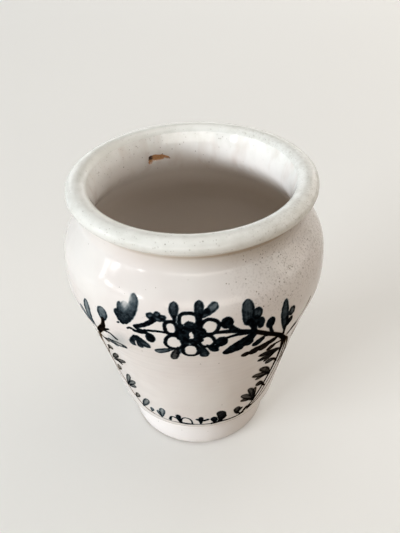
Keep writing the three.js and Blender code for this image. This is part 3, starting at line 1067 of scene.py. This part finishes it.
def with_crease_dirt_and_shade(tree, axes, colour, creased):
    """The colour with dirt and painted shade over it: a band round the crease, and a painted shadow in the
    neck that ends at the roll.
    """
    below = add(tree, "Math", [axes["Z"], crease_height], operation="SUBTRACT")
    off_crease = add(tree, "Math", [below], operation="ABSOLUTE")
    in_crease = add(tree, "MapRange", [off_crease, crease_half, crease_core, 0.0, 0.35 * creased])
    neck_shade = add(tree, "MapRange", [axes["Z"], *neck_shade_rises])
    under_roll = add(tree, "MapRange", [axes["Z"], *roll_begins])
    neck_shade_towards_right = add(tree, "MapRange", [axes["X"], *shade_grows_towards_right, 0.1, 0.8])
    neck_shade = add(tree, "Math", [neck_shade, under_roll], operation="MULTIPLY")
    neck_shade_towards_right = add(tree, "Math", [neck_shade_towards_right, creased], operation="MULTIPLY")
    neck_shade = add(tree, "Math", [neck_shade, neck_shade_towards_right], operation="MULTIPLY")
    darker_at_right = add(tree, "MapRange", [axes["X"], *darkest_at_right, 1.0, 2.6])
    in_crease = add(tree, "Math", [in_crease, darker_at_right], operation="MULTIPLY")
    darkened = add(tree, "Math", [in_crease, neck_shade], operation="ADD", use_clamp=True)
    return add(tree, "Mix", [darkened, colour, crease_dirt_and_shade], data_type="RGBA")


print("the crease is dirty for", round(crease_half / MM, 1), "mm up and down")

# %% [markdown]
# Gas left pinholes in the glaze, which hold dirt. They crowd on the right shoulder, where the glaze
# is also scummed and peppered, and on the left of the rim.

# %% Pores, scum and pepper
right_side_begins = (8 * MM, 34 * MM)
shoulder_begins = (98 * MM, 112 * MM)
rim_pitted_towards_left = (25 * MM, -38 * MM)
pore_chances = (0.012, 0.7)
pore_radii = (0.1, 0.36)  # as shares of the pore spacing


def with_pores(tree, place, axes, colour, creased, on_rim, patchy):
    """The colour with pores in it, and where they are.

    A cell of a Voronoi pattern holds a pore if its random red is under the chance of one there. Its
    green is the size of the pore and its blue is how dark the pore is.
    """
    right_side = add(tree, "MapRange", [axes["X"], *right_side_begins])
    shoulder = add(tree, "MapRange", [axes["Z"], *shoulder_begins])
    crowded = add(tree, "Math", [right_side, shoulder], operation="MULTIPLY")
    crowded = add(tree, "Math", [crowded, creased], operation="MULTIPLY")
    scummed = add(tree, "Math", [crowded, patchy], operation="MULTIPLY")
    scummed = add(tree, "Math", [scummed, 0.15], operation="MULTIPLY")
    colour = add(tree, "Mix", [scummed, colour, scum], data_type="RGBA")

    left_side = add(tree, "MapRange", [axes["X"], *rim_pitted_towards_left, 0.12, 0.8])
    crowded_rim = add(tree, "Math", [on_rim, left_side], operation="MULTIPLY")
    either = add(tree, "Math", [crowded, crowded_rim], operation="MAXIMUM")
    chance = add(tree, "MapRange", [either, 0.0, 1.0, *pore_chances])
    pattern = add(tree, "TexVoronoi", [place, 1 / pore_spacing]).outputs
    draw = add(tree, "SeparateColor", [pattern["Color"]]).outputs
    drawn = add(tree, "Math", [draw["Red"], chance], operation="LESS_THAN")
    pore_size = add(tree, "MapRange", [draw["Green"], 0.0, 1.0, *pore_radii])
    depth_in = add(tree, "Math", [pore_size, pattern["Distance"]], operation="SUBTRACT")
    pore = add(tree, "MapRange", [depth_in, -0.03, 0.06])
    pore = add(tree, "Math", [pore, drawn], operation="MULTIPLY")

    darkness = add(tree, "MapRange", [draw["Blue"], 0.0, 1.0, 0.2, 1.0])
    stain = add(tree, "Math", [pore, darkness], operation="MULTIPLY")
    pepper = add(tree, "TexNoise", [place, 1 / pepper_size, 2.0])
    pepper = add(tree, "MapRange", [pepper, 0.5, 0.7])
    peppered = add(tree, "Math", [crowded, 0.34], operation="MULTIPLY")
    pepper = add(tree, "Math", [pepper, peppered], operation="MULTIPLY")
    stain = add(tree, "Math", [stain, pepper], operation="ADD", use_clamp=True)
    faint = add(tree, "MapRange", [on_rim, 0.0, 1.0, 1.0, 0.5])
    stain = add(tree, "Math", [stain, faint], operation="MULTIPLY")
    return add(tree, "Mix", [stain, colour, pore_dirt], data_type="RGBA"), pore


print("pores are at most", round(pore_radii[1] * pore_spacing / MM, 2), "mm in radius")

# %% [markdown]
# Gloss is duller where the glaze is mottled and in the pores. The surface waves as a melted coat
# does, ripples like orange peel, and sinks at the pores.

# %% The tin glaze
def tin_glaze(
    tree, whites=outside_white, rim_whites=rim_white, rim_begins=(132.0, 134.5),
    creased=1.0, waviness=wave_height, shine=(0.1, 0.18),
):
    """Adds the white glaze to a tree and gives back its colour, its roughness and its normal.

    Whites are its colours thin over the clay and where it covers well, rim whites those of the rim's
    thicker glaze, which begins between two heights in mm; creased says how strongly dirt and painted shade
    darken the crease and the neck and how crowded the shoulder's pores, scum and pepper are, and
    waviness is the height of the waves in mm and shine the range of its roughness.
    """
    place = add(tree, "TexCoord").outputs["Object"]
    axes = add(tree, "SeparateXYZ", [place]).outputs
    mottle = add(tree, "TexNoise", [place, 1 / mottle_size, 4.0])
    colour, on_rim, patchy = glaze_whites(tree, place, axes["Z"], mottle, whites, rim_whites, rim_begins)
    colour = with_crease_dirt_and_shade(tree, axes, colour, creased)
    colour, pore = with_pores(tree, place, axes, colour, creased, on_rim, patchy)
    gloss = add(tree, "MapRange", [mottle, 0.3, 0.7, *shine])
    gloss = add(tree, "Math", [pore, 0.4, gloss], operation="MULTIPLY_ADD")
    waves = add(tree, "TexNoise", [place, 1 / wave_size, 1.0])
    peel = add(tree, "TexNoise", [place, 1 / peel_size, 2.0])
    relief = add(tree, "Math", [waves, waviness], operation="MULTIPLY")
    relief = add(tree, "Math", [peel, peel_height, relief], operation="MULTIPLY_ADD")
    relief = add(tree, "Math", [pore, -pore_depth, relief], operation="MULTIPLY_ADD")
    normal = add(tree, "Bump", {"Height": relief, "Distance": MM, "Strength": 1.0})
    return colour, gloss, normal


glaze_material, tree = new_material("tin_glaze_dipped")
colour, gloss, normal = tin_glaze(tree)
feeds = {"Base Color": colour, "Roughness": gloss, "Normal": normal, "IOR": glaze_ior}
surface = add(tree, "BsdfPrincipled", feeds)
add(tree, "OutputMaterial", {"Surface": surface})
glaze_out.data.materials.append(glaze_material)
print("tin glaze nodes", len(tree.nodes))

# %% [markdown]
# The biscuit under the glaze is common brick-coloured earthenware: porous, matt and gritty, darker
# where it has drunk grease and dust. Its nodes serve the body and the chip in the throat.

# %% Fired clay
grit_size, bloom_size = 0.9 * MM, 9 * MM
clay_tones, dark_grit = ("#b98556", "#d3a477"), "#7a5233"


def fired_clay(tree, place):
    """Adds the colour of bare biscuit to a tree and gives back that colour and its grit."""
    bloom = add(tree, "TexNoise", [place, 1 / bloom_size, 4.0])
    grit = add(tree, "TexNoise", [place, 1 / grit_size, 3.0])
    worn_tone = add(tree, "MapRange", [bloom, 0.35, 0.65])
    dark_grain = add(tree, "MapRange", [grit, 0.58, 0.72, 0.0, 0.6])
    colour = add(tree, "Mix", [worn_tone, *clay_tones], data_type="RGBA")
    return add(tree, "Mix", [dark_grain, colour, dark_grit], data_type="RGBA"), grit


clay_material, tree = new_material("earthenware_biscuit_turned")
colour, grit = fired_clay(tree, add(tree, "TexCoord").outputs["Object"])
normal = add(tree, "Bump", {"Height": grit, "Distance": 0.15 * MM, "Strength": 1.0})
surface = add(tree, "BsdfPrincipled", {"Base Color": colour, "Roughness": 0.9, "Normal": normal})
add(tree, "OutputMaterial", {"Surface": surface})
clay.data.materials.append(clay_material)
print("biscuit nodes", len(tree.nodes))

# %% [markdown]
# Inside, the same glaze carries faint runs from the rim, and the chip breaks through it to the biscuit.
# The values kept on the mesh say where the clay is bare and where grime and painted shade darken the deep
# end.

# %% The inside glaze with its chip
run_width = 6 * MM
runs_begin, deep_shade_begins = (112 * MM, 122 * MM), (121 * MM, 103 * MM)
deep_shade_tone, run_tone, grime_and_shade_tone = "#ddd3c9", "#cdb9ac", "#4a3525"
inner_material, tree = new_material("tin_glaze_dipped_chipped")
colour, gloss, normal = tin_glaze(
    tree, lit_inside_white, lit_lip_white, (128.0, 140.0), creased=0.0, waviness=0.06, shine=(0.04, 0.08)
)
place = add(tree, "TexCoord").outputs["Object"]
level = add(tree, "SeparateXYZ", [place]).outputs["Z"]
drawn_out = add(tree, "Mapping", {"Vector": place, "Scale": (1.0, 1.0, 0.3)})
runs = add(tree, "TexNoise", [drawn_out, 1 / run_width, 2.0])
runs = add(tree, "MapRange", [runs, 0.5, 0.75, 0.0, 0.35])
in_throat = add(tree, "MapRange", [level, *runs_begin])
runs = add(tree, "Math", [runs, in_throat], operation="MULTIPLY")
# Deeper in the jar the glaze is drawn greyer: painted shade.
deep = add(tree, "MapRange", [level, *deep_shade_begins])
colour = add(tree, "Mix", [deep, colour, deep_shade_tone], data_type="RGBA")
colour = add(tree, "Mix", [runs, colour, run_tone], data_type="RGBA")
bare = add(tree, "Attribute", attribute_name="bare_clay").outputs["Fac"]
grime_and_shade = add(tree, "Attribute", attribute_name="grime_and_shade").outputs["Fac"]
# The deep end of the chip is darkened: grime there, and painted shade.
darkened_biscuit = add(tree, "Mix", [grime_and_shade, fired_clay(tree, place)[0], grime_and_shade_tone], data_type="RGBA")
chipped = add(tree, "Mix", [bare, colour, darkened_biscuit], data_type="RGBA")
matt = add(tree, "Math", [bare, 0.7, gloss], operation="MULTIPLY_ADD")
feeds = {"Base Color": chipped, "Roughness": matt, "Normal": normal, "IOR": glaze_ior}
surface = add(tree, "BsdfPrincipled", feeds)
add(tree, "OutputMaterial", {"Surface": surface})
glaze_in.data.materials.append(inner_material)
print("inside glaze nodes", len(tree.nodes))

# %% [markdown]
# The garland's paint is metal oxide ground in water and laid on the raw glaze, so it melts into it.
# Thick, it is blue-black; thin, it lets the white through as slate blue, or brown where iron shows.
# It works as a dye: its colour multiplies the glaze under it, so its borders match the glaze exactly.

# %% Oxide paint in the glaze
streak_size = 1.6 * MM
dye_depths = (0.0, 0.12, 0.4, 0.62, 0.82, 1.0)
blue_dye = ("#ffffff", "#e1e6e8", "#8b979d", "#4b5962", "#1b252c", "#04060a")
brown_dye = ("#ffffff", "#e9e2da", "#a0937c", "#67563f", "#2b2016", "#0a0705")
paint_material, tree = new_material("oxide_paint_in_tin_glaze")
ground, gloss, normal = tin_glaze(tree)
place = add(tree, "TexCoord").outputs["Object"]
depth = add(tree, "Attribute", attribute_name="paint_depth").outputs["Fac"]
tone = add(tree, "Attribute", attribute_name="paint_brown").outputs["Fac"]
streaks = add(tree, "TexNoise", [place, 1 / streak_size, 3.0])
streaks = add(tree, "MapRange", [streaks, 0.3, 0.7, 0.86, 1.1])
load = add(tree, "Math", [depth, streaks], operation="MULTIPLY")
dyes = []
for dye_colours in (blue_dye, brown_dye):
    ramp = add(tree, "ValToRGB", [load])
    stops = ramp.color_ramp.elements
    while len(stops) < len(dye_depths):
        stops.new(0.5)
    for stop, at, hex_colour in zip(stops, dye_depths, dye_colours):
        stop.position = at
        stop.color = paint_chip(hex_colour)
    dyes.append(ramp)
dye = add(tree, "Mix", [tone, *dyes], data_type="RGBA")
painted_glaze = add(tree, "Mix", [1.0, ground, dye], data_type="RGBA", blend_type="MULTIPLY")
feeds = {"Base Color": painted_glaze, "Roughness": gloss, "Normal": normal, "IOR": glaze_ior}
surface = add(tree, "BsdfPrincipled", {**feeds, "Specular IOR Level": 0.0})
add(tree, "OutputMaterial", {"Surface": surface})
garland.data.materials.append(paint_material)
print("paint nodes", len(tree.nodes))

# %% [markdown]
# Each piece rides on the jar's one body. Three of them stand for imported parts, and the garland is new.

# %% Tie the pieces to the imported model
for piece, node_name, slot in (
    (clay, "clay_body", "fired_clay"),
    (glaze_out, "glaze_outside", "white_glaze"),
    (glaze_in, "glaze_inside", "white_glaze"),
):
    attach(piece, "root")
    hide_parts(node_name)
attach(garland, "root")
print("pieces", [piece.name for piece in (clay, glaze_out, glaze_in, garland)])

# %% [markdown]
# The camera stands above and in front of the jar, as someone holding a telephone over a table would.
# Its place and its angles say how it looks, and a focal length of a little more than the height of
# the frame gives the strong narrowing towards the foot.

# %% The camera
camera_place = np.array([0.0, -227.07, 260.8]) * MM
pitch, yaw, roll = np.radians([37.14, 0.57, -1.47])
frame_height_px = 533
focal_px = 600
sensor = 36.0
forward = np.array([np.sin(yaw) * np.cos(pitch), np.cos(yaw) * np.cos(pitch), -np.sin(pitch)])
level_right = np.array([np.cos(yaw), -np.sin(yaw), 0])
level_up = np.cross(level_right, forward)
right = np.cos(roll) * level_right + np.sin(roll) * level_up
up = np.cos(roll) * level_up - np.sin(roll) * level_right
camera_data = bpy.data.cameras.new("camera")
camera_data.sensor_fit = "VERTICAL"
camera_data.sensor_height = sensor
camera_data.lens = focal_px * sensor / frame_height_px
camera_data.clip_start = 0.01
camera = bpy.data.objects.new("camera", camera_data)
matrix = np.eye(4)
matrix[:3] = np.stack([right, up, -forward, camera_place], -1)
camera.matrix_world = Matrix(matrix.tolist())
bpy.context.scene.collection.objects.link(camera)
bpy.context.scene.camera = camera
print("lens", round(camera_data.lens, 2), "mm on a", sensor, "mm frame")

# %% [markdown]
# The jar stands on a plain pale floor. The camera, and gloss that mirrors it, see the floor pale,
# while the light that it throws back on the jar is warm and dim, as from a wooden table.

# %% The floor
def plain_to_the_eye(tree):
    """1 for rays from the camera, from gloss and through glass, and 0 for the light on the jar."""
    seen = add(tree, "LightPath").outputs
    plain = add(tree, "Math", [seen["Is Camera Ray"], seen["Is Glossy Ray"]], operation="MAXIMUM")
    return add(tree, "Math", [plain, seen["Is Transmission Ray"]], operation="MAXIMUM")


floor_half = 3.0
floor_corners = [(x * floor_half, y * floor_half, 0) for x, y in ((-1, -1), (1, -1), (1, 1), (-1, 1))]
floor = new_piece("floor", floor_corners, [(0, 1, 2, 3)])
floor_material, tree = new_material("plain_pale_floor")
plain = plain_to_the_eye(tree)
floor_colour = add(tree, "Mix", [plain, "#8e765b", "#dfdedb"], data_type="RGBA")
glow = add(tree, "Math", [plain, 0.2], operation="MULTIPLY")
feeds = {"Base Color": floor_colour, "Roughness": 0.8}
surface = add(tree, "BsdfPrincipled", {**feeds, "Emission Color": "#f2f3ef", "Emission Strength": glow})
add(tree, "OutputMaterial", {"Surface": surface})
floor.data.materials.append(floor_material)
print("floor", 2 * floor_half, "m wide")

# %% [markdown]
# Soft daylight comes from a window on the left, with an even fill from the other sides. One even lamp
# lights the jar for the window, and what shines in the glaze is its four panes, which are dimmer.

# %% The lamps and the sky
lit_height = 90 * MM
window_distance = 2.5
pane_power = 30


def soft_light(name, azimuth, elevation, distance, size, power, colour="#ffffff"):
    """An area lamp at an azimuth from +Y towards +X and an elevation, in degrees, turned to the jar."""
    a, e = np.radians([azimuth, elevation])
    away = np.array([np.sin(a) * np.cos(e), np.cos(a) * np.cos(e), np.sin(e)])
    side = np.cross([0, 0, 1], away)
    side = side / np.linalg.norm(side)
    data = bpy.data.lights.new(name, "AREA")
    data.shape = "RECTANGLE"
    data.size, data.size_y = size
    data.energy = power
    data.color = paint_chip(colour)[:3]
    lamp = bpy.data.objects.new(name, data)
    turn = np.eye(4)
    turn[:3] = np.stack([side, np.cross(away, side), away, away * distance + [0, 0, lit_height]], -1)
    lamp.matrix_world = Matrix(turn.tolist())
    bpy.context.scene.collection.objects.link(lamp)
    return lamp


window = soft_light("window_light", -119, 14, window_distance, (1.5, 0.3), 61, "#f4faff")
window.visible_glossy = False
panes = ((-97, 17, 0.15, 0.42), (-107, 14, 0.33, 0.30), (-119, 14, 0.33, 0.30), (-131, 14, 0.33, 0.30))
for pane, (azimuth, elevation, width, height) in enumerate(panes):
    power = pane_power * width * height
    lamp = soft_light(f"window_pane_{pane + 1}", azimuth, elevation, window_distance, (width, height), power)
    lamp.visible_diffuse = False
soft_light("right_fill", 68, 32, 1.6, (2.4, 1.5), 13.0, "#fff5ea")
soft_light("back_fill", 0, 14, 1.6, (2.2, 0.8), 5.6)
soft_light("front_fill", 176, 14, 1.8, (2.0, 0.6), 9.0, "#fff6ec")
soft_light("ceiling", 0, 88, 1.5, (1.4, 1.4), 8.6, "#fffaf3")
world = bpy.data.worlds.new("studio")
bpy.context.scene.world = world
world.use_nodes = True
tree = world.node_tree
tree.nodes.clear()
backdrop = add(tree, "Background", {"Color": "#eeeeea", "Strength": plain_to_the_eye(tree)})
add(tree, "OutputWorld", {"Surface": backdrop})
bpy.context.scene.view_settings.view_transform = "Standard"
